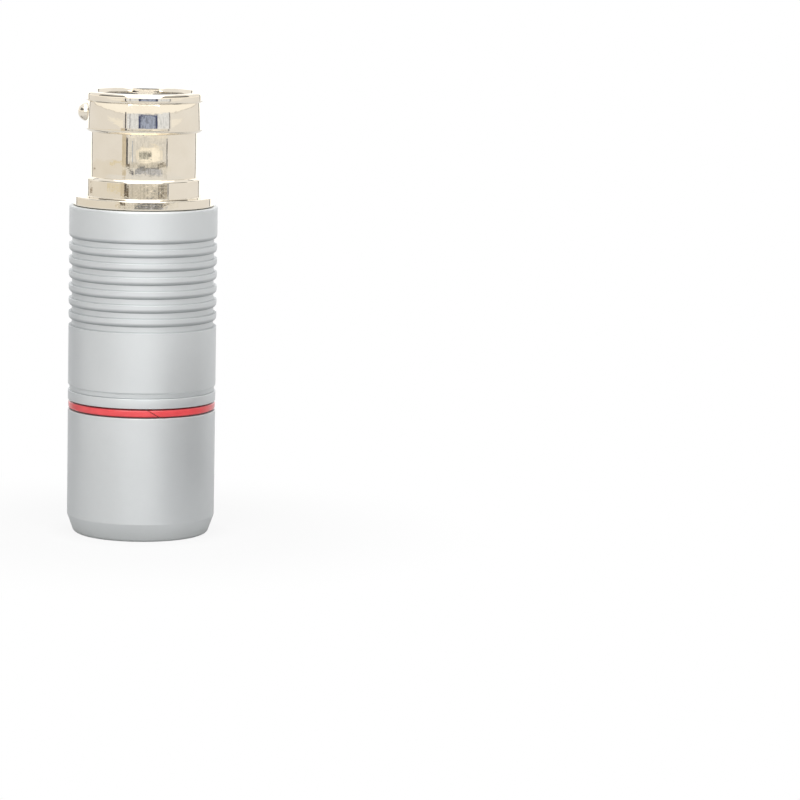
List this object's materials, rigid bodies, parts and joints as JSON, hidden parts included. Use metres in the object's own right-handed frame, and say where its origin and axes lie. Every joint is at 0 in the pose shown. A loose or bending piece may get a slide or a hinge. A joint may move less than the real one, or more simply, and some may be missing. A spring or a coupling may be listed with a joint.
{
  "type": "xlr plug",
  "caption": "Female XLR cable plug with a stepped plated nose, sprung catch, grooved grey barrel, red marker ring and a screwed end cap that closes a slotted collet on the cable.",
  "frame": {"origin": "centre of the foot, on the axis of the plug", "axes": "+Z along the axis from the cable end to the mouth, -X towards the catch, +Y towards the key slot"},
  "size_m": [0.02, 0.02, 0.06],
  "materials": {
    "grey_anodised": "satin",
    "plated_brass": "polished",
    "gold_contact": "polished",
    "black_insulator": "satin",
    "red_ring": "gloss",
    "spring_steel": "satin"
  },
  "bodies": {
    "body": {"nose_shell": "plated_brass", "front_insulator": "black_insulator", "rear_insulator": "black_insulator", "insulator_nut": "plated_brass", "contact_1": "gold_contact", "contact_2": "gold_contact", "contact_3": "gold_contact", "latch_sleeve": "plated_brass", "latch_spring": "spring_steel", "barrel": "grey_anodised", "coupling": "grey_anodised", "marker_ring": "red_ring"},
    "latch": {"latch_pin": "plated_brass"},
    "clamp": {"collet": "plated_brass"},
    "cap": {"end_cap": "grey_anodised"}
  },
  "joints": [
    {"name": "latch_press", "type": "slide", "parent": "body", "child": "latch", "axis": [1, 0, 0], "range_m": [0, 0.0011], "stiffness_N_per_m": 600, "springref_m": -0.0012, "deforming": ["latch_spring"]},
    {"name": "collet_travel", "type": "slide", "parent": "body", "child": "clamp", "axis": [0, 0, -1], "range_m": [0, 0.005]},
    {"name": "cap_turn", "type": "hinge", "parent": "clamp", "child": "cap", "pos_m": [0, 0, 0.0085], "axis": [0, 0, -1], "range_deg": [0, 1800]}
  ],
  "couplings": [
    {"joint": "collet_travel", "follows": "cap_turn", "m_per_rad": 0.00015915}
  ]
}
